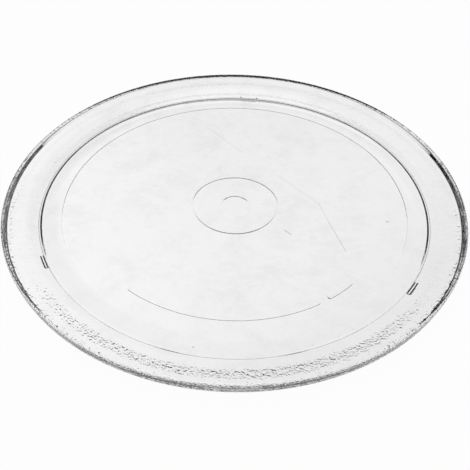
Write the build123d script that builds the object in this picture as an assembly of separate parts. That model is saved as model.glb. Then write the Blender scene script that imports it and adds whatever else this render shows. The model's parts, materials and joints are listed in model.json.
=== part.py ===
from build123d import *
import os

# Clear pressed-glass turntable plate of a microwave oven, one solid.
# One section is turned about Z. Three lugs and two bare mould pads stand on its underside.
# The plate stands on the lugs, so Z is zero at their feet and +Z points to the food side.
# Lengths are millimetres, angles are degrees.

# Radial sizes, from the edge inwards
PLATE_DIAMETER = 280.0
TOP_LAND_WIDTH = 15.5       # nearly level outer part of the rim, on the food side
TOP_SLOPE_WIDTH = 16.0      # gentle slope from the land down to the floor of the well
EDGE_LEAN = 0.5             # the edge leans in this far between its widest line and its foot
FOOT_LEAN = 1.5             # the edge's foot leans in this much more
UNDER_LAND_WIDTH = 9.5      # level outer part of the rim, on the underside
UNDER_SLOPE_WIDTH = 5.0     # slope from that land down to the guide rib
RIB_CREST_WIDTH = 6.1       # level crest of the guide rib that keeps the rollers on their track
RIB_WALL_WIDTH = 1.45       # leaning inner wall of the guide rib
TRACK_WIDTH = 12.15         # flat band that the rollers run on
STEP_WIDTH = 0.45           # leaning wall at the inner side of the track
GROOVE_RADIUS = 26.1        # middle of the ring groove round the hub
GROOVE_WIDTH = 2.0
DIMPLE_RADIUS = 9.2         # mouth of the hollow over the end of the drive shaft
DIMPLE_WALL_WIDTH = 1.2

# Heights, from the lug feet upwards
LUG_HEIGHT = 1.0
RIB_HEIGHT = 0.75
TRACK_STEP = 0.3            # the track stands this far below the rest of the floor
FLOOR_THICKNESS = 5.6
RIM_RISE = 4.7              # rim's highest line above the floor of the well
TOP_LAND_RISE = 0.4         # part of that rise that the land takes
EDGE_THICKNESS = 9.5
EDGE_BAND = 0.25            # upright band under the edge's top rounding
FOOT_SHARE = 0.39           # part of the edge's thickness that its foot takes
GROOVE_DEPTH = 0.28
DIMPLE_DEPTH = 0.28

# Pressed form
EDGE_TOP_ROUND = 2.3        # rounding of the outer edge, food side
EDGE_UNDER_ROUND = 1.6      # rounding of the outer edge, underside
FOOT_ROUND = 6.0            # turn from the edge to its leaning foot
EDGE_SHARE = 0.45           # most of the edge's thickness that one rounding may take
WELL_ROUND = 24.0           # hollow where the well turns up into the rim
CROWN_ROUND = 24.0          # crown where the slope meets the land
CREST_ROUND = 2.5           # outer turn of the guide rib
SHOULDER_ROUND = 2.5        # turn from the underside's slope to its land

# Lugs and pads
LUG_COUNT = 3
LUG_LENGTH = 12.8
LUG_WIDTH = 2.9
LUG_BEVEL = 0.85            # bevel round a lug's foot
LUG_BEVEL_SHARE = 0.4       # most of a lug's width that the bevel may take on either side
LUG_TO_TRACK = 1.85         # clear distance between a lug and the track
FIRST_LUG_ANGLE = 90.0
PAD_HEIGHT = 0.3
PAD_WIDTH = 8.0
PAD_TO_TRACK = 12.7         # clear floor between the pads and the track
LONG_PAD_ANGLE = 270.0
LONG_PAD_SPAN = 68.0
SHORT_PAD_ANGLE = 314.5
SHORT_PAD_SPAN = 9.0

# Heights of the faces, all measured from the lug feet
rib_z = LUG_HEIGHT
track_z = rib_z + RIB_HEIGHT
under_z = track_z + TRACK_STEP
well_z = under_z + FLOOR_THICKNESS
rim_z = well_z + RIM_RISE
top_land_z = rim_z - TOP_LAND_RISE
edge_under_z = rim_z - EDGE_THICKNESS
foot_z = edge_under_z + EDGE_THICKNESS * FOOT_SHARE

# Radii of the section's corners
edge_r = PLATE_DIAMETER / 2
top_land_r = edge_r - TOP_LAND_WIDTH
well_r = top_land_r - TOP_SLOPE_WIDTH
foot_r = edge_r - EDGE_LEAN
under_land_r = edge_r - UNDER_LAND_WIDTH
rib_outer_r = under_land_r - UNDER_SLOPE_WIDTH
rib_inner_r = rib_outer_r - RIB_CREST_WIDTH
track_outer_r = rib_inner_r - RIB_WALL_WIDTH
track_inner_r = track_outer_r - TRACK_WIDTH
relief_r = track_inner_r - STEP_WIDTH
groove_outer_r = GROOVE_RADIUS + GROOVE_WIDTH / 2
groove_inner_r = GROOVE_RADIUS - GROOVE_WIDTH / 2
dimple_floor_r = DIMPLE_RADIUS - DIMPLE_WALL_WIDTH
lug_bevel = min(LUG_BEVEL, LUG_WIDTH * LUG_BEVEL_SHARE)
lug_middle_r = track_outer_r + LUG_TO_TRACK + LUG_WIDTH / 2
pad_middle_r = relief_r - PAD_TO_TRACK - PAD_WIDTH / 2

# Roundings of the outer edge, neither larger than the edge leaves room for
edge_top_round = min(EDGE_TOP_ROUND, EDGE_THICKNESS * EDGE_SHARE)
edge_under_round = min(EDGE_UNDER_ROUND, EDGE_THICKNESS * EDGE_SHARE)
widest_z = rim_z - edge_top_round - EDGE_BAND


def rounded(section, corner, radius):
    """Round the corner of the section that lies at this point."""
    return fillet(section.vertices().sort_by_distance(corner)[0], radius)


def plate_section():
    """Half section of the plate, as radius and height, from the axis to the edge."""
    rib_outer = (rib_outer_r, rib_z)
    under_land = (under_land_r, edge_under_z)
    edge_under = (foot_r - FOOT_LEAN, edge_under_z)
    foot = (foot_r, foot_z)
    edge_top = (edge_r, rim_z)
    top_land = (top_land_r, top_land_z)
    well_edge = (well_r, well_z)

    outline = Polyline(
        (0, under_z + DIMPLE_DEPTH),
        (dimple_floor_r, under_z + DIMPLE_DEPTH),
        (DIMPLE_RADIUS, under_z),
        (groove_inner_r, under_z),
        (GROOVE_RADIUS, under_z + GROOVE_DEPTH),
        (groove_outer_r, under_z),
        (relief_r, under_z),
        (track_inner_r, track_z),
        (track_outer_r, track_z),
        (rib_inner_r, rib_z),
        rib_outer,
        under_land,
        edge_under,
        foot,
        (edge_r, widest_z),
        edge_top,
        top_land,
        well_edge,
        (0, well_z),
        close=True,
    )
    section = make_face(outline)

    section = rounded(section, well_edge, WELL_ROUND)
    section = rounded(section, top_land, CROWN_ROUND)
    section = rounded(section, rib_outer, CREST_ROUND)
    section = rounded(section, under_land, SHOULDER_ROUND)
    section = rounded(section, edge_under, edge_under_round)
    section = rounded(section, foot, FOOT_ROUND)
    section = rounded(section, edge_top, edge_top_round)
    return section


def lug():
    """Round-ended lug with a bevelled foot at Z zero, which reaches up into the guide rib."""
    body = extrude(SlotOverall(LUG_LENGTH, LUG_WIDTH, rotation=90), LUG_HEIGHT + RIB_HEIGHT + TRACK_STEP)
    foot_edges = body.edges().group_by(Axis.Z)[0]
    return chamfer(foot_edges, lug_bevel)


def mould_pad(angle, span):
    """Low round-ended pad that follows a circle about the axis, centred at an angle."""
    middle = CenterArc((0, 0), pad_middle_r, angle - span / 2, span)
    outline = SlotArc(middle, PAD_WIDTH)
    return Pos(Z=under_z - PAD_HEIGHT) * extrude(outline, PAD_HEIGHT + FLOOR_THICKNESS / 2)


plate = revolve(Plane.XZ * plate_section(), Axis.Z)
plate += [place * lug() for place in PolarLocations(lug_middle_r, LUG_COUNT, FIRST_LUG_ANGLE)]
plate += mould_pad(LONG_PAD_ANGLE, LONG_PAD_SPAN)
plate += mould_pad(SHORT_PAD_ANGLE, SHORT_PAD_SPAN)

os.makedirs("parts", exist_ok=True)
export_step(plate, "parts/turntable_plate.step")
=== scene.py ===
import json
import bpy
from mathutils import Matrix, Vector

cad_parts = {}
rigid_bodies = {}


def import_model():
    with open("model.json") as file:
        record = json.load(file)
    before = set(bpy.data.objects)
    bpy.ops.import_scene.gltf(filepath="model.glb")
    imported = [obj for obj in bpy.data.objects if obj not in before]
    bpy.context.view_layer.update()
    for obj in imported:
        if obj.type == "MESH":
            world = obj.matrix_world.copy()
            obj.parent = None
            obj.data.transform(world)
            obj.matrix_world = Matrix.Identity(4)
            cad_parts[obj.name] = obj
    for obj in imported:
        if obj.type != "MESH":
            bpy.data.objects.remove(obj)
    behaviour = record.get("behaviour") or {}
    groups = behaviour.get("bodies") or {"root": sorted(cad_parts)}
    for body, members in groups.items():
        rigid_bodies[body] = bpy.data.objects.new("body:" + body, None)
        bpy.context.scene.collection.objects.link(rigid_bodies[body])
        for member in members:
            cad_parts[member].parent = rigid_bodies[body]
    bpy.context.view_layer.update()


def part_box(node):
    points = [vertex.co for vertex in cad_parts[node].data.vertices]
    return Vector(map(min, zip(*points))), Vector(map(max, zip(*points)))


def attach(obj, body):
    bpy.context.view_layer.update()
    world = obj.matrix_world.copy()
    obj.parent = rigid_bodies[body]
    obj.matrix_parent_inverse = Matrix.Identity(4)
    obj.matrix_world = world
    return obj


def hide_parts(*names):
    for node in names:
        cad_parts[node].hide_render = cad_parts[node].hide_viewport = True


bl_info = {
    "name": "Microwave turntable plate",
    "version": (1, 0, 0),
    "blender": (4, 5, 0),
    "location": "View3D > Sidebar > Turntable plate",
    "description": "A clear pressed-glass turntable plate and its studio, on the packed model",
    "category": "Object",
}

from math import radians

import bpy
import numpy as np
from mathutils import Matrix

for leftover in list(bpy.data.objects):
    bpy.data.objects.remove(leftover)
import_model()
PLATE_NODE = "turntable_plate"
PLATE_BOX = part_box(PLATE_NODE)
MM = 0.001
FULL_TURN = 2 * np.pi

# Rows of the mesh, along the section
ARC_STEPS = 6                   # points on each rounding
CLOSE_ROW = 0.2 * MM            # from a rounding to the row that keeps the face beside it flat
LONGEST_STEP = 9 * MM           # between rows on a straight run
LEAST_ROW_GAP = 0.05 * MM       # a row closer than this to the last one is left out
ZONE_GAP = 0.1 * MM             # least width of the strip that joins two zones
WALL_ROWS = 7                   # over the wall of a lug or pad
WALL_MARGIN = 0.3               # from that wall to a row on each side, in wall widths
SEAM_ROWS = 9                   # over the fine groove on the rib's crest
TOUCH = 1e-9                    # two radii this close are the same

# Columns of the mesh, round the plate
END_COLUMNS = 13                # over a round end of a lug or pad
LUG_END_REACH = 0.65            # to each side of an end's middle, in halves of a lug's width
PAD_END_REACH = 1.2             # to each side of an end's middle, in quarters of a pad's width
COLUMN_GAP = 0.3                # from those columns to the even ones, in even steps

# Stippled band under the rim
GRAIN_SEED = 5
GRAIN_ROWS = 0.9                # distance between rows, in grains
GRAIN_COLUMNS = 1.15            # distance between columns, in grains
BAND_INSET = 0.1                # from the edge's foot to the band, in underside roundings
INNER_FADE = 1.5 * MM           # the grains grow over this width at the inner border
OUTER_FADE = 0.6 * MM           # and over this one at the outer border
LAND_LOSS = 0.3                 # share by which the grains are lower on the land
EDGE_GRAINS = 4.0 * MM          # they begin to turn full again this far from the outer border
EDGE_GRAINS_FADE = 3.0 * MM     # and do so over this width
EDGE_GRAINS_BACK = 0.4          # except at the back, past this sine of the angle
EDGE_GRAINS_TURN = 0.6          # range of the sine over which they fade there
FRONT_START = 0.45              # depth in front of the axis, in radii, where the front begins
FRONT_FADE = 0.45               # range of that depth over which the grains turn full


def length(name, description, millimetres):
    """Length property, written in millimetres and kept in metres."""
    return bpy.props.FloatProperty(
        name=name, description=description, default=millimetres * MM,
        min=0.0, precision=5, unit="LENGTH")


def angle(name, description, degrees):
    """Angle property, written in degrees and kept in radians."""
    return bpy.props.FloatProperty(
        name=name, description=description, default=radians(degrees), subtype="ANGLE")


def share(name, description, value):
    """Property between nought and one."""
    return bpy.props.FloatProperty(
        name=name, description=description, default=value, min=0.0, max=1.0, subtype="FACTOR")


def amount(name, description, value, **limits):
    """Plain number property that isn't negative."""
    return bpy.props.FloatProperty(
        name=name, description=description, default=value, **{"min": 0.0, **limits})


def colour(name, description, value):
    """Colour property without alpha."""
    return bpy.props.FloatVectorProperty(
        name=name, description=description, default=value,
        size=3, min=0.0, max=1.0, subtype="COLOR")


class PlateSizes(bpy.types.PropertyGroup):
    """Sizes of the plate's section, of its lugs and of its bare mould pads."""

    edge_radius: length("Edge radius", "From the axis to the outer edge", PLATE_BOX[1].x / MM)
    rim_height: length("Rim height", "From the lug feet to the rim's highest line", 12.35)
    edge_thickness: length("Edge thickness", "Height of the outer edge", 9.6)
    edge_lean: length("Edge lean", "How far the edge leans in above its foot", 0.8)
    foot_height: length("Foot height", "Height of the edge's foot, which leans in more", 3.79)
    foot_lean: length("Foot lean", "How far the foot leans in", 2.4)
    foot_round: length("Foot turn", "Turn from the edge to its foot", 3.43)
    edge_top_round: length("Edge top rounding", "Rounding of the edge on the food side", 1.4)
    edge_band: length("Edge band", "Upright band under that rounding", 0.22)
    edge_under_round: length("Edge under rounding", "Rounding of the edge on the underside", 2.81)
    top_land_width: length("Top land", "Nearly level outer part of the rim, food side", 15.5)
    top_land_rise: length("Top land rise", "Rise over that land", 0.4)
    top_slope_width: length("Top slope", "Slope from the land down to the well", 16.0)
    crown_round: length("Crown rounding", "Turn from the slope to the land", 24.0)
    well_round: length("Well rounding", "Turn from the well's floor to the slope", 24.0)
    well_height: length("Well height", "From the lug feet to the floor of the well", 7.65)
    floor_thickness: length("Floor thickness", "Glass under the well", 5.6)
    under_land_width: length("Under land", "Level outer part of the rim, underside", 8.0)
    under_slope_width: length("Under slope", "Slope from that land down to the guide rib", 6.5)
    shoulder_round: length("Shoulder rounding", "Turn from the underside's slope to its land", 2.5)
    crest_width: length("Rib crest", "Level crest of the guide rib", 6.1)
    crest_round: length("Crest rounding", "Outer turn of the guide rib", 2.5)
    rib_wall_width: length("Rib wall", "Leaning inner wall of the guide rib", 1.45)
    rib_height: length("Rib height", "Height of the guide rib over the track", 0.75)
    rib_round: length("Rib rounding", "Rounding at both ends of the rib's wall", 0.7)
    seam_to_lug: length("Seam to lug", "From the lugs' inner side to the crest's fine groove", 0.1)
    seam_width: length("Seam width", "Width of that groove", 0.8)
    seam_depth: length("Seam depth", "Depth of that groove", 0.22)
    track_width: length("Track width", "Flat band that the rollers run on", 12.15)
    step_width: length("Step width", "Leaning wall at the inner side of the track", 0.45)
    step_height: length("Step height", "Height of that wall", 0.3)
    step_round: length("Step rounding", "Rounding at both ends of that wall", 0.5)
    groove_radius: length("Groove radius", "Middle of the ring groove round the hub", 26.1)
    groove_width: length("Groove width", "Width of that groove", 2.0)
    groove_depth: length("Groove depth", "Depth of that groove", 0.48)
    groove_round: length("Groove rounding", "Rounding of the groove's lips and bottom", 0.5)
    dimple_radius: length("Dimple radius", "Mouth of the hollow in the middle", 8.9)
    dimple_wall_width: length("Dimple wall", "Leaning wall of that hollow", 0.8)
    dimple_depth: length("Dimple depth", "Depth of that hollow", 0.46)
    dimple_round: length("Dimple rounding", "Rounding at both ends of the dimple's wall", 0.4)
    lug_length: length("Lug length", "Length along the rib", 12.8)
    lug_width: length("Lug width", "Width across the rib", 2.9)
    lug_wall: length("Lug wall", "Width of the leaning wall round a lug", 1.4)
    lug_to_track: length("Lug to track", "Clear distance between a lug and the track", 1.85)
    lug_count: bpy.props.IntProperty(name="Lugs", description="Number of lugs", default=3, min=1)
    lug_angle: angle("First lug", "Angle of the first lug", 90.0)
    pad_height: length("Pad height", "Height of the bare mould pads", 0.3)
    pad_width: length("Pad width", "Width of the pads across the radius", 8.0)
    pad_wall: length("Pad wall", "Width of the leaning wall round a pad", 0.45)
    pad_to_track: length("Pad to track", "Clear floor between the pads and the track", 12.7)
    long_pad_angle: angle("Long pad", "Angle of the long pad's middle", 270.0)
    long_pad_span: angle("Long pad span", "Angle that the long pad's middle line spans", 68.0)
    short_pad_angle: angle("Short pad", "Angle of the short pad's middle", 314.5)
    short_pad_span: angle("Short pad span", "Angle that the short pad's middle line spans", 9.0)
    stipple_depth: length("Stipple depth", "Height of the grains pressed under the rim", 0.38)
    stipple_reach: length("Stipple reach", "How far the grains reach onto the rib's crest", 2.0)
    stipple_grain: length("Stipple grain", "Distance between those grains", 0.53)
    stipple_away: share("Stipple away", "Height of the grains away from the front, as a share", 0.3)
    columns: bpy.props.IntProperty(
        name="Columns", description="Even columns round the plate", default=240, min=60)


class GlassLook(bpy.types.PropertyGroup):
    """Finish of the pressed glass, the marks of its use and a painted shade that darkens one side.
    """

    tint: colour("Tint", "Colour of light that passes both faces", (0.99, 0.99, 0.99))
    index: amount("Index", "Refractive index", 1.5, min=1.0, max=2.0)
    absorption: amount("Absorption", "Light lost in each metre of glass", 3.0)
    roughness: share("Roughness", "Roughness of clean glass", 0.0)
    # Colour that the glass takes both in the smudges and in the painted shade on the front right
    smudge_and_shade: colour("Smudges and shade", "Colour of light that passes a smudge", (0.84, 0.84, 0.84))
    mark: colour("Mark", "Colour of light that passes a scratch or speck", (0.42, 0.42, 0.42))
    smudge_scale: amount("Smudge scale", "Smudges in each metre", 45.0)
    smudge_detail: amount("Smudge detail", "Finer and finer layers of smudges", 9.0)
    smudge_roughness: share("Smudge roughness", "Strength of the finer layers", 0.78)
    smudge_swirl: amount("Smudge swirl", "How far the smudges are dragged", 0.2)
    smudge_start: share("Smudge start", "Level of the smudges where they begin to show", 0.43)
    smudge_full: share("Smudge full", "Level of the smudges where they show fully", 0.7)
    smudge_film: share("Smudge film", "Strength of the film in a smudge", 0.9)
    # Painted shade: between these two distances the glass turns darker towards the front right,
    # standing in for dimmer light on that side
    side_shade_start: length("Side shade start", "From the axis to the start of the side with painted shade", 40.0)
    side_shade_full: length("Side shade full", "From the axis to where that side shows fully", 135.0)
    side_shade_strength: share("Side shade strength", "Strength of the film on the side with painted shade", 0.8)


class StudioLook(bpy.types.PropertyGroup):
    """Floor, lamps and camera."""

    floor: colour("Floor", "Colour of the floor in the lamps' light", (0.9, 0.9, 0.9))
    shadow: share("Shadow", "Part of the floor's brightness that shadows can take", 0.03)
    ceiling: colour("Ceiling", "Colour of the dark room over the floor", (0.02, 0.02, 0.02))
    lamp_power: amount("Lamp power", "Power of the overhead lamp", 26.0, unit="POWER")
    back_panel: amount("Back panel", "Brightness of the soft panel high at the back", 2.0)
    side_panel: amount("Side panel", "Brightness of the soft panel at the back left", 1.0)
    camera_turn: angle("Camera turn", "Turn of the camera's side about the plate", 3.9)
    camera_distance: length("Camera distance", "Level distance from the axis to the camera", 356.8)
    camera_height: length("Camera height", "Height of the camera over the well", 309.8)
    camera_aside: length("Camera aside", "Shift of the camera to its right", 0.38)
    camera_pitch: angle("Camera pitch", "How far the camera looks down", 43.43)
    camera_roll: angle("Camera roll", "Roll of the camera about its line of sight", 1.297)
    camera_lens: amount("Lens", "Focal length in millimetres on the frame's width", 58.72, min=1.0)


# Studio, in metres and degrees
FLOOR_REACH = 10.0
FACING_UP = (0, 1, 2, 3)        # order of a sheet's corners
FACING_DOWN = (0, 3, 2, 1)
LAMP_SIZE = 3.0
LAMP_PLACE = (-0.6, -0.3, 2.0)
BACK_PANEL_PLACE = {"elevation": 70.0, "turn": 100.0, "distance": 2.2, "width": 1.2}
SIDE_PANEL_PLACE = {"elevation": 40.0, "turn": 130.0, "distance": 2.5, "width": 2.6}
PANEL_CORE = 0.35               # evenly bright middle of a panel, as a share of its width
FRAME_WIDTH = 36.0              # the camera's frame, in millimetres
GLASS_BOUNCES = 32              # faces of glass that light may pass
GLOSSY_BOUNCES = 16

# Marks of use, as places on the plate in millimetres. A scratch has its ends, width and strength.
SCRATCHES = (
    ((51.3, 4.1), (56.9, -11.3), 0.45, 0.6),
    ((56.9, -11.3), (67.1, -36.3), 0.55, 0.8),
    ((31.2, -22.3), (35.3, -25.7), 0.7, 1.0),
    ((-25.9, 76.6), (-9.9, 60.9), 0.45, 0.5),
    ((-9.9, 60.9), (1.1, 49.9), 0.45, 0.5),
    ((26.5, 27.2), (51.3, 4.1), 2.5, 0.15),
)
# A speck under the plate has its centre and radius.
SPECKS = (
    ((93.2, -5.4), 1.4),
    ((-12.3, -113.5), 1.1),
    ((49.2, -106.6), 0.6),
    ((62.9, -99.2), 0.6),
    ((70.6, -93.9), 0.6),
)
SHADED_SIDE = (0.75, -0.66, 0)  # direction from the axis to the side that painted shade darkens
# Food side, told from the underside by its height
FOOD_SIDE_START = 0.6           # depth under the well where it begins, in floor thicknesses
FOOD_SIDE_FULL = 0.4            # depth where it is reached in full


def section_corners(size):
    """Corners of the half section, one row each of radius, height and rounding.

    They go from the axis along the underside to the outer edge and back along the food side.
    """
    well_z = size.well_height
    under_z = well_z - size.floor_thickness
    track_z = under_z - size.step_height
    rib_z = track_z - size.rib_height
    rim_z = size.rim_height
    edge_under_z = rim_z - size.edge_thickness
    edge_r = size.edge_radius
    under_land_r = edge_r - size.under_land_width
    crest_r = under_land_r - size.under_slope_width
    rib_r = crest_r - size.crest_width
    track_outer_r = rib_r - size.rib_wall_width
    track_inner_r = track_outer_r - size.track_width
    relief_r = track_inner_r - size.step_width
    top_land_r = edge_r - size.top_land_width
    half_groove = size.groove_width / 2
    return np.array([
        (0, under_z + size.dimple_depth, 0),
        (size.dimple_radius - size.dimple_wall_width, under_z + size.dimple_depth,
         size.dimple_round),
        (size.dimple_radius, under_z, size.dimple_round),
        (size.groove_radius - half_groove, under_z, size.groove_round),
        (size.groove_radius, under_z + size.groove_depth, size.groove_round),
        (size.groove_radius + half_groove, under_z, size.groove_round),
        (relief_r, under_z, size.step_round),
        (track_inner_r, track_z, size.step_round),
        (track_outer_r, track_z, size.rib_round),
        (rib_r, rib_z, size.rib_round),
        (crest_r, rib_z, size.crest_round),
        (under_land_r, edge_under_z, size.shoulder_round),
        (edge_r - size.edge_lean - size.foot_lean, edge_under_z, size.edge_under_round),
        (edge_r - size.edge_lean, edge_under_z + size.foot_height, size.foot_round),
        (edge_r, rim_z - size.edge_top_round - size.edge_band, size.edge_top_round / 2),
        (edge_r, rim_z, size.edge_top_round),
        (top_land_r, rim_z - size.top_land_rise, size.crown_round),
        (top_land_r - size.top_slope_width, well_z, size.well_round),
        (0, well_z, 0),
    ])


def rounded_profile(corners):
    """Points of a polyline whose corners are replaced by arcs.

    An arc touches both sides at radius / tan(half the corner's angle) from the corner, its centre
    lies on the bisector, and its points turn evenly from the first touching point to the second.
    """
    before, corner, after = corners[:-2, :2], corners[1:-1, :2], corners[2:, :2]
    radius = corners[1:-1, 2:]
    to_before = before - corner
    to_after = after - corner
    to_before /= np.linalg.norm(to_before, axis=1, keepdims=True)
    to_after /= np.linalg.norm(to_after, axis=1, keepdims=True)
    half = np.arccos(np.clip((to_before * to_after).sum(1, keepdims=True), -1, 1)) / 2
    bisector = to_before + to_after
    bisector /= np.linalg.norm(bisector, axis=1, keepdims=True)
    centre = corner + bisector * radius / np.sin(half)
    first = corner + to_before * radius / np.tan(half) - centre
    last = corner + to_after * radius / np.tan(half) - centre
    turn = (np.pi - 2 * half)[:, None]
    t = np.linspace(0, 1, ARC_STEPS)[None, :, None]
    arcs = np.sin((1 - t) * turn) * first[:, None] + np.sin(t * turn) * last[:, None]
    arcs = arcs / np.sin(turn) + centre[:, None]
    return np.vstack([corners[:1, :2], arcs.reshape(-1, 2), corners[-1:, :2]])


def supported(profile):
    """The profile with more points on each long straight run.

    One point lies close to both ends of the run and the others are spaced evenly between. The
    close ones keep the shading of a flat face flat up to the arc beside it.
    """
    start, end = profile[:-1], profile[1:]
    run = np.linalg.norm(end - start, axis=1)
    parts = np.ceil(run / LONGEST_STEP).astype(int)
    inner = [
        np.concatenate([[0.0], [CLOSE_ROW / r], np.arange(1, n) / n, [1 - CLOSE_ROW / r]])
        if r > 4 * CLOSE_ROW else np.zeros(1)
        for r, n in zip(run, parts)]
    which = np.repeat(np.arange(len(run)), [len(f) for f in inner])
    along = np.concatenate(inner)[:, None]
    return np.vstack([start[which] + along * (end - start)[which], profile[-1:]])


def stand_radii(size):
    """Middle radius of the lugs and of the pads."""
    rib_r = size.edge_radius - size.under_land_width - size.under_slope_width - size.crest_width
    track_outer_r = rib_r - size.rib_wall_width
    relief_r = track_outer_r - size.track_width - size.step_width
    lug_r = track_outer_r + size.lug_to_track + size.lug_width / 2
    pad_r = relief_r - size.pad_to_track - size.pad_width / 2
    return lug_r, pad_r


def with_stand_rows(size, under):
    """The inner part of the underside's profile with the rows that its raised forms need.

    They lie over the long walls of the lugs and pads and over the fine groove on the rib's crest.
    """
    lug_r, pad_r = stand_radii(size)
    wall = np.concatenate([[-WALL_MARGIN], np.linspace(0, 1, WALL_ROWS), [1 + WALL_MARGIN]])
    seam = size.seam_width * np.linspace(-0.5, 0.5, SEAM_ROWS)
    sides = np.concatenate([
        lug_r - size.lug_width / 2 + size.lug_wall * wall,
        lug_r + size.lug_width / 2 - size.lug_wall * wall,
        pad_r - size.pad_width / 2 + size.pad_wall * wall,
        pad_r + size.pad_width / 2 - size.pad_wall * wall,
        lug_r - size.lug_width / 2 + size.seam_to_lug + seam])
    r = np.union1d(under[:, 0], sides)
    r = r[np.concatenate([[True], np.diff(r) > LEAST_ROW_GAP])]
    return np.stack([r, np.interp(r, under[:, 0], under[:, 1])], 1)


def even_angles(count):
    """Angles of a full circle of even columns."""
    return np.arange(count) * FULL_TURN / count


def column_angles(size):
    """Angles of an even circle of columns, with a fine run over each round end of a lug or pad."""
    lug_r, pad_r = stand_radii(size)
    lugs = size.lug_angle + even_angles(size.lug_count)
    lug_end = (size.lug_length - size.lug_width / 2) / 2 / lug_r
    pad_end = size.pad_width / 4 / pad_r
    both = np.array([-1, 1])
    ends = np.concatenate([
        lugs - lug_end, lugs + lug_end,
        size.long_pad_angle + (size.long_pad_span / 2 + pad_end) * both,
        size.short_pad_angle + (size.short_pad_span / 2 + pad_end) * both])
    reach = np.concatenate([
        np.full(2 * size.lug_count, LUG_END_REACH * size.lug_width / 2 / lug_r),
        np.full(4, PAD_END_REACH * pad_end)])
    fine = ends[:, None] + reach[:, None] * np.linspace(-1, 1, END_COLUMNS)
    even = even_angles(size.columns)
    gap = np.abs((even[:, None] - ends + np.pi) % FULL_TURN - np.pi)
    even = even[(gap > reach + COLUMN_GAP * FULL_TURN / size.columns).all(1)]
    return np.sort(np.concatenate([even, fine.ravel() % FULL_TURN]))


def smooth_wall(inside, width):
    """Nought outside an outline, one past the width of its wall, and a smooth S between."""
    t = np.clip(inside / width, 0, 1)
    return t * t * (3 - 2 * t)


def stand_surface(size, r, theta, z):
    """Heights of the underside with its lugs, its pads and the fine groove on the rib's crest.

    The groove is one wave of a squared cosine across its width. A lug or pad is a slot that
    follows its circle: a point's depth inside it is half the width less the distance to the
    slot's middle line. Past the wall a lug reaches down to height nought, and a pad stands its own
    height below the floor.
    """
    lug_r, pad_r = stand_radii(size)
    past_seam = (r - lug_r + size.lug_width / 2 - size.seam_to_lug) / size.seam_width
    z = z + size.seam_depth * np.cos(np.pi * np.clip(past_seam, -0.5, 0.5)) ** 2
    pitch = FULL_TURN / size.lug_count
    turn = (theta - size.lug_angle + pitch / 2) % pitch - pitch / 2
    past = np.maximum(np.abs(turn) * lug_r - (size.lug_length - size.lug_width) / 2, 0)
    z = z * (1 - smooth_wall(size.lug_width / 2 - np.hypot(r - lug_r, past), size.lug_wall))
    for middle, span in (
        (size.long_pad_angle, size.long_pad_span),
        (size.short_pad_angle, size.short_pad_span),
    ):
        turn = (theta - middle + np.pi) % FULL_TURN - np.pi
        past = np.maximum(np.abs(turn) - span / 2, 0) * pad_r
        inside = size.pad_width / 2 - np.hypot(r - pad_r, past)
        z = z - size.pad_height * smooth_wall(inside, size.pad_wall)
    return z


def stipple_surface(size, r, theta, z):
    """Heights of the band under the rim with its pressed grains.

    Each point is moved by an even random share of the grain's height. The grains grow from both
    borders of the band and are full on the slope, lower on the land, and lower away from the
    front. Near the edge they are full all round, except at the back.
    """
    first, last = r[0, 0], r[-1, 0]
    border = smooth_wall(r - first, INNER_FADE) * smooth_wall(last - r, OUTER_FADE)
    past_slope = r - size.edge_radius + size.under_land_width + size.under_slope_width / 2
    land = 1 - LAND_LOSS * smooth_wall(past_slope, size.under_slope_width)
    away = np.sin(theta)
    edge = smooth_wall(r - last + EDGE_GRAINS, EDGE_GRAINS_FADE)
    edge = edge * smooth_wall(EDGE_GRAINS_BACK - away, EDGE_GRAINS_TURN)
    land = land + (1 - land) * edge
    front = smooth_wall(-away - FRONT_START, FRONT_FADE)
    front = front + (1 - front) * edge
    grains = np.random.default_rng(GRAIN_SEED).uniform(-1, 1, r.shape)
    height = border * land * (size.stipple_away + (1 - size.stipple_away) * front)
    return z + size.stipple_depth * grains * height


def plate_zones(size, profile):
    """Rings, angles and surface of the mesh's three zones.

    They are the underside inside the rim with the lugs and pads, the finer stippled band, and the
    outer edge with the food side, which is the plain turned section.
    """
    outermost = int(np.argmax(profile[:, 0] > size.edge_radius - TOUCH))
    under, over = profile[:outermost], profile[outermost:]
    slope_start = size.edge_radius - size.under_land_width - size.under_slope_width
    foot_r = size.edge_radius - size.edge_lean - size.foot_lean
    band_start = slope_start - size.stipple_reach
    band_end = foot_r - BAND_INSET * size.edge_under_round
    band_rows = int((band_end - band_start) / (GRAIN_ROWS * size.stipple_grain))
    band_r = np.linspace(band_start, band_end, band_rows)
    band = np.stack([band_r, np.interp(band_r, under[:, 0], under[:, 1])], 1)
    band_columns = int(FULL_TURN * band_end / (GRAIN_COLUMNS * size.stipple_grain))
    inner = under[1:][under[1:, 0] < band_start - ZONE_GAP]
    outer = np.vstack([under[under[:, 0] > band_end + ZONE_GAP], over[:-1]])
    return (
        (with_stand_rows(size, inner), column_angles(size), stand_surface),
        (band, even_angles(band_columns), stipple_surface),
        (outer, even_angles(size.columns), None),
    )


def quad_faces(first, rows, columns):
    """Quads of a grid of closed rings, numbered from the first point, ring by ring."""
    i, j = np.meshgrid(np.arange(rows - 1), np.arange(columns), indexing="ij")
    k = (j + 1) % columns
    here, above = i * columns, (i + 1) * columns
    quads = np.stack([here + j, here + k, above + k, above + j], -1)
    return (first + quads).reshape(-1, 4).tolist()


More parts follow.
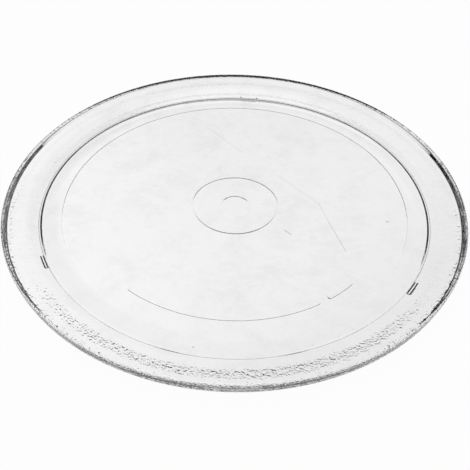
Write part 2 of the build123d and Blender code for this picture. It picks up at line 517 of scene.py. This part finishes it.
def zip_faces(first, theta, next_first, next_theta):
    """Triangles between two rings whose points lie at different angles.

    All the angles are taken in order. Each one closes a triangle between the step that its ring
    makes there and the point that the other ring has reached.
    """
    order = np.argsort(np.concatenate([theta, next_theta]), kind="stable")
    here = order < len(theta)
    reached, next_reached = np.cumsum(here), np.cumsum(~here)
    before = first + (reached - 2) % len(theta)
    now = first + (reached - 1) % len(theta)
    next_before = next_first + (next_reached - 2) % len(next_theta)
    next_now = next_first + (next_reached - 1) % len(next_theta)
    step = np.stack([before, now, next_now], -1)[here]
    next_step = np.stack([now, next_now, next_before], -1)[~here]
    return step.tolist() + next_step.tolist()


def fan_faces(centre, start, end):
    """Triangles from one centre to each step of a ring, whose steps have a start and an end."""
    return np.stack([np.full(len(start), centre), start, end], -1).tolist()


def plate_mesh(size):
    """Closed mesh of the plate: its section turned about Z.

    Each zone is a grid, row by row along the section and column by column round it. Strips of
    triangles join the zones, and a fan closes the mesh at both ends of the axis.
    """
    profile = supported(rounded_profile(section_corners(size)))
    points, faces, borders = [], [], []
    count = 0
    for rings, theta, surface in plate_zones(size, profile):
        r, turn = np.meshgrid(rings[:, 0], theta, indexing="ij")
        z = np.repeat(rings[:, 1:], len(theta), 1)
        z = surface(size, r, turn, z) if surface else z
        points.append(np.stack([r * np.cos(turn), r * np.sin(turn), z], -1).reshape(-1, 3))
        faces += quad_faces(count, len(rings), len(theta))
        borders.append((count, theta, count + (len(rings) - 1) * len(theta)))
        count += r.size
    for (_, theta, last), (first, next_theta, _) in zip(borders, borders[1:]):
        faces += zip_faces(last, theta, first, next_theta)

    points.append(np.array([(0, 0, profile[0, 1]), (0, 0, profile[-1, 1])]))
    first, theta, _ = borders[0]
    ring = first + np.arange(len(theta))
    faces += fan_faces(count, np.roll(ring, -1), ring)
    _, theta, last = borders[-1]
    ring = last + np.arange(len(theta))
    faces += fan_faces(count + 1, ring, np.roll(ring, -1))

    mesh = bpy.data.meshes.new("turntable_plate_glass")
    mesh.from_pydata(np.vstack(points), [], faces)
    mesh.polygons.foreach_set("use_smooth", np.ones(len(mesh.polygons), bool))
    mesh.validate()
    return mesh


def put(tree, socket, value):
    """Link a socket to an input, or set the input's own value."""
    if isinstance(value, bpy.types.NodeSocket):
        tree.links.new(value, socket)
    else:
        socket.default_value = value


def node(tree, kind, inputs=None, **settings):
    """New node with its settings made and its named inputs linked or set."""
    made = tree.nodes.new(kind)
    for name, value in settings.items():
        setattr(made, name, value)
    for name, value in (inputs or {}).items():
        put(tree, made.inputs[name], value)
    return made


def maths(tree, operation, *values):
    """Result of a Math node."""
    made = node(tree, "ShaderNodeMath", dict(enumerate(values)), operation=operation)
    return made.outputs[0]


def vector_maths(tree, operation, *values):
    """Vector result of a Vector Math node, or its number where the operation gives one."""
    made = node(tree, "ShaderNodeVectorMath", dict(enumerate(values)), operation=operation)
    is_number = operation in ("LENGTH", "DOT_PRODUCT", "DISTANCE")
    return made.outputs["Value" if is_number else "Vector"]


def ramp(tree, value, start, end):
    """Smooth step from nought at start to one at end."""
    made = node(tree, "ShaderNodeMapRange", {"Value": value, "From Min": start, "From Max": end},
                interpolation_type="SMOOTHSTEP")
    return made.outputs["Result"]


def mixed(tree, share_of_second, first, second):
    """Colour that lies between two colours."""
    made = node(tree, "ShaderNodeMix", {"Factor": share_of_second, "A": first, "B": second},
                data_type="RGBA")
    return made.outputs["Result"]


def new_group(name, vectors, numbers):
    """Empty shader group with named inputs and one mask, and the sockets of its two end nodes."""
    group = bpy.data.node_groups.new(name, "ShaderNodeTree")
    for label in vectors:
        group.interface.new_socket(label, in_out="INPUT", socket_type="NodeSocketVector")
    for label in numbers:
        group.interface.new_socket(label, in_out="INPUT", socket_type="NodeSocketFloat")
    group.interface.new_socket("Mask", in_out="OUTPUT", socket_type="NodeSocketFloat")
    given = group.nodes.new("NodeGroupInput").outputs
    result = group.nodes.new("NodeGroupOutput").inputs
    return group, given, result


def line_mark_group():
    """Mask of a scratch: one on the straight line between two points and nought past its width.

    The nearest point of the line is the start plus the clamped share of the way to the end.
    """
    tree, given, result = new_group("Line mark", ("Vector", "Start", "End"), ("Width",))
    flat = vector_maths(tree, "MULTIPLY", given["Vector"], (1, 1, 0))
    way = vector_maths(tree, "SUBTRACT", given["End"], given["Start"])
    here = vector_maths(tree, "SUBTRACT", flat, given["Start"])
    along = maths(tree, "DIVIDE", vector_maths(tree, "DOT_PRODUCT", here, way),
                  vector_maths(tree, "DOT_PRODUCT", way, way))
    clamped = node(tree, "ShaderNodeClamp", {"Value": along}).outputs[0]
    reach = node(tree, "ShaderNodeVectorMath", {0: way, "Scale": clamped}, operation="SCALE")
    gap = vector_maths(tree, "DISTANCE", here, reach.outputs[0])
    put(tree, result["Mask"], ramp(tree, gap, given["Width"], 0.0))
    return tree


def dot_mark_group():
    """Mask of a speck: one at its centre, falling smoothly to nought at its radius."""
    tree, given, result = new_group("Dot mark", ("Vector", "Centre"), ("Radius",))
    flat = vector_maths(tree, "MULTIPLY", given["Vector"], (1, 1, 0))
    gap = vector_maths(tree, "DISTANCE", flat, given["Centre"])
    put(tree, result["Mask"], ramp(tree, gap, given["Radius"], 0.0))
    return tree


def spot(place):
    """Place on the plate in metres, from one in millimetres."""
    return place[0] * MM, place[1] * MM, 0


def scratch_mask(tree, place):
    """Mask of all the scratches, each at its own strength."""
    group = line_mark_group()
    mask = 0.0
    for start, end, width, strength in SCRATCHES:
        mark = node(tree, "ShaderNodeGroup", node_tree=group)
        for name, value in (("Vector", place), ("Start", spot(start)), ("End", spot(end)),
                            ("Width", width * MM)):
            put(tree, mark.inputs[name], value)
        shown_mark = maths(tree, "MULTIPLY", mark.outputs["Mask"], strength)
        mask = maths(tree, "MAXIMUM", shown_mark, mask)
    return mask


def speck_mask(tree, place):
    """Mask of all the specks."""
    group = dot_mark_group()
    mask = 0.0
    for centre, radius in SPECKS:
        mark = node(tree, "ShaderNodeGroup", node_tree=group)
        for name, value in (("Vector", place), ("Centre", spot(centre)), ("Radius", radius * MM)):
            put(tree, mark.inputs[name], value)
        mask = maths(tree, "MAXIMUM", mark.outputs["Mask"], mask)
    return mask


def smudge_and_shade_mask(tree, place, look):
    """Mask of the film and the painted shade: cloudy smudges, and painted shade that grows towards
    the front right.
    """
    smudge = node(tree, "ShaderNodeTexNoise", {
        "Vector": place, "Scale": look.smudge_scale, "Detail": look.smudge_detail,
        "Roughness": look.smudge_roughness, "Distortion": look.smudge_swirl})
    smudges = ramp(tree, smudge.outputs["Fac"], look.smudge_start, look.smudge_full)
    # Painted shade: a straight ramp that darkens the glass more towards the front right
    side_shade = ramp(tree, vector_maths(tree, "DOT_PRODUCT", place, SHADED_SIDE),
                   look.side_shade_start, look.side_shade_full)
    return maths(tree, "ADD", maths(tree, "MULTIPLY", smudges, look.smudge_film),
                 maths(tree, "MULTIPLY", side_shade, look.side_shade_strength))


def glass_material(size, look):
    """Clear pressed glass: even tint and absorption, faint film, painted shade on the front right,
    scratches and specks.

    The film, the painted shade and the scratches lie on the food side, and the specks on the
    underside.
    """
    material = bpy.data.materials.new("clear_glass")
    material.use_nodes = True
    tree = material.node_tree
    place = node(tree, "ShaderNodeTexCoord").outputs["Object"]
    height = node(tree, "ShaderNodeSeparateXYZ", {"Vector": place}).outputs["Z"]
    food_side = ramp(tree, height, size.well_height - FOOD_SIDE_START * size.floor_thickness,
                     size.well_height - FOOD_SIDE_FULL * size.floor_thickness)
    under_side = maths(tree, "SUBTRACT", 1.0, food_side)

    scratches = maths(tree, "MULTIPLY", scratch_mask(tree, place), food_side)
    specks = maths(tree, "MULTIPLY", speck_mask(tree, place), under_side)
    marks = maths(tree, "MAXIMUM", scratches, specks)
    # The glass's colour turns to the film colour in the smudges and in the painted shade on the
    # front right
    smudge_and_shade = maths(tree, "MULTIPLY", smudge_and_shade_mask(tree, place, look), food_side)
    smudged_and_shaded = mixed(tree, smudge_and_shade, (*look.tint, 1), (*look.smudge_and_shade, 1))
    marked = mixed(tree, marks, smudged_and_shaded, (*look.mark, 1))

    shader = tree.nodes["Principled BSDF"]
    for name, value in (("Base Color", marked), ("Roughness", look.roughness), ("IOR", look.index),
                        ("Transmission Weight", 1.0)):
        put(tree, shader.inputs[name], value)
    inside = node(tree, "ShaderNodeVolumeAbsorption",
                  {"Color": (0, 0, 0, 1), "Density": look.absorption})
    put(tree, tree.nodes["Material Output"].inputs["Volume"], inside.outputs["Volume"])
    return material


def shown(name, data):
    """New object at the origin, in the scene's own collection."""
    made = bpy.data.objects.new(name, data)
    bpy.context.scene.collection.objects.link(made)
    return made


def square_sheet(name, half, order):
    """Flat square about the origin. The order of its corners says whether it faces up or down."""
    corners = [(-half, -half, 0), (half, -half, 0), (half, half, 0), (-half, half, 0)]
    sheet = bpy.data.meshes.new(name)
    sheet.from_pydata(corners, [], [order])
    return sheet


def bare_material(name):
    """New material without a shader, with its node tree."""
    material = bpy.data.materials.new(name)
    material.use_nodes = True
    tree = material.node_tree
    tree.nodes.remove(tree.nodes["Principled BSDF"])
    return material, tree


def floor_material(look):
    """White floor: plain paint in the lamps' light.

    To the camera it is white and takes a soft shadow, and to rays from the glass it is pure white.
    """
    material, tree = bare_material("white_floor")
    paint = node(tree, "ShaderNodeBsdfDiffuse", {"Color": (*look.floor, 1)})
    white = node(tree, "ShaderNodeEmission", {"Color": (1, 1, 1, 1), "Strength": 1.0})
    path = node(tree, "ShaderNodeLightPath").outputs
    glass = maths(tree, "MAXIMUM", path["Is Glossy Ray"], path["Is Transmission Ray"])
    camera = maths(tree, "MULTIPLY", path["Is Camera Ray"], 1 - look.shadow)
    whiteness = maths(tree, "MAXIMUM", camera, glass)
    mix = node(tree, "ShaderNodeMixShader",
               {0: whiteness, 1: paint.outputs[0], 2: white.outputs[0]})
    put(tree, tree.nodes["Material Output"].inputs["Surface"], mix.outputs[0])
    return material


def soft_panel(name, strength, elevation, turn, distance, width):
    """Round soft light that faces the plate from a direction in degrees.

    It is brightest in its middle and dark at its border.
    """
    half = width / 2
    sheet = square_sheet(name, half, FACING_DOWN)
    material, tree = bare_material(name)
    place = node(tree, "ShaderNodeTexCoord").outputs["Object"]
    glow = ramp(tree, vector_maths(tree, "LENGTH", place), half, PANEL_CORE * half)
    light = node(tree, "ShaderNodeEmission", {"Strength": maths(tree, "MULTIPLY", glow, strength)})
    put(tree, tree.nodes["Material Output"].inputs["Surface"], light.outputs[0])
    sheet.materials.append(material)
    panel = shown(name, sheet)
    tilt = Matrix.Rotation(radians(turn), 4, "Z") @ Matrix.Rotation(radians(90 - elevation), 4, "Y")
    panel.matrix_world = tilt @ Matrix.Translation((0, 0, distance))
    panel.visible_camera = False
    panel.visible_transmission = False
    return panel


def overhead_lamp(power):
    """Large round lamp over the plate, which lights the floor and isn't seen in the glass."""
    light = bpy.data.lights.new("overhead", "AREA")
    light.shape = "DISK"
    light.size = LAMP_SIZE
    light.energy = power
    lamp = shown("overhead", light)
    lamp.location = LAMP_PLACE
    lamp.visible_glossy = False
    lamp.visible_transmission = False
    return lamp


def studio_world(look):
    """White behind the floor to the camera, and a dark room to everything else."""
    world = bpy.data.worlds.new("studio")
    world.use_nodes = True
    tree = world.node_tree
    room = node(tree, "ShaderNodeBackground", {"Color": (*look.ceiling, 1)})
    white = node(tree, "ShaderNodeBackground", {"Color": (1, 1, 1, 1)})
    path = node(tree, "ShaderNodeLightPath").outputs
    mix = node(tree, "ShaderNodeMixShader",
               {0: path["Is Camera Ray"], 1: room.outputs[0], 2: white.outputs[0]})
    put(tree, tree.nodes["World Output"].inputs["Surface"], mix.outputs[0])
    return world


def photo_camera(look, well_height):
    """Camera at the photograph's angle, placed from the axis and the floor of the well."""
    lens = bpy.data.cameras.new("photo_camera")
    lens.lens = look.camera_lens
    lens.sensor_width = FRAME_WIDTH
    camera = shown("photo_camera", lens)
    stand = Matrix.Translation(
        (look.camera_aside, -look.camera_distance, well_height + look.camera_height))
    camera.matrix_world = (
        Matrix.Rotation(look.camera_turn, 4, "Z") @ stand
        @ Matrix.Rotation(radians(90) - look.camera_pitch, 4, "X")
        @ Matrix.Rotation(look.camera_roll, 4, "Z"))
    return camera


class OBJECT_OT_turntable_plate(bpy.types.Operator):
    """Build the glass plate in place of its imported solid"""

    bl_idname = "object.turntable_plate"
    bl_label = "Glass plate"

    def execute(self, context):
        sizes = context.scene.plate_sizes
        mesh = plate_mesh(sizes)
        if not mesh.polygons:
            raise RuntimeError("the plate's mesh has no faces")
        mesh.materials.append(glass_material(sizes, context.scene.glass_look))
        plate = shown("glass_plate", mesh)
        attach(plate, "root")
        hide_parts(PLATE_NODE)
        return {"FINISHED"}


class SCENE_OT_turntable_studio(bpy.types.Operator):
    """Lay the white floor, hang the lamp and the soft panels and set the camera"""

    bl_idname = "scene.turntable_studio"
    bl_label = "Studio"

    def execute(self, context):
        scene = context.scene
        look = scene.studio_look
        ground = square_sheet("floor", FLOOR_REACH, FACING_UP)
        ground.materials.append(floor_material(look))
        floor = shown("floor", ground)
        lamp = overhead_lamp(look.lamp_power)
        panels = [soft_panel("back_panel", look.back_panel, **BACK_PANEL_PLACE),
                  soft_panel("side_panel", look.side_panel, **SIDE_PANEL_PLACE)]
        scene.world = studio_world(look)
        scene.camera = photo_camera(look, scene.plate_sizes.well_height)
        scene.view_settings.view_transform = "Standard"
        scene.cycles.max_bounces = GLASS_BOUNCES
        scene.cycles.transmission_bounces = GLASS_BOUNCES
        scene.cycles.glossy_bounces = GLOSSY_BOUNCES
        return {"FINISHED"}


class VIEW3D_PT_turntable_plate(bpy.types.Panel):
    """Panel that lists the plate, the glass and the studio"""

    bl_label = "Turntable plate"
    bl_space_type = "VIEW_3D"
    bl_region_type = "UI"
    bl_category = "Turntable plate"

    def draw(self, context):
        for operator, group in (
            (OBJECT_OT_turntable_plate, context.scene.plate_sizes),
            (OBJECT_OT_turntable_plate, context.scene.glass_look),
            (SCENE_OT_turntable_studio, context.scene.studio_look),
        ):
            box = self.layout.box()
            box.operator(operator.bl_idname)
            for name in group.__annotations__:
                box.prop(group, name)


CLASSES = (
    PlateSizes, GlassLook, StudioLook,
    OBJECT_OT_turntable_plate, SCENE_OT_turntable_studio, VIEW3D_PT_turntable_plate,
)


def register():
    """Register the classes and hang the three groups on the scene."""
    for cls in CLASSES:
        bpy.utils.register_class(cls)
    bpy.types.Scene.plate_sizes = bpy.props.PointerProperty(type=PlateSizes)
    bpy.types.Scene.glass_look = bpy.props.PointerProperty(type=GlassLook)
    bpy.types.Scene.studio_look = bpy.props.PointerProperty(type=StudioLook)


def unregister():
    """Take back all that register made."""
    del bpy.types.Scene.studio_look
    del bpy.types.Scene.glass_look
    del bpy.types.Scene.plate_sizes
    for cls in reversed(CLASSES):
        bpy.utils.unregister_class(cls)


def main():
    """Build the plate, then its studio."""
    register()
    bpy.ops.object.turntable_plate()
    bpy.ops.scene.turntable_studio()


if __name__ == "__main__":
    main()
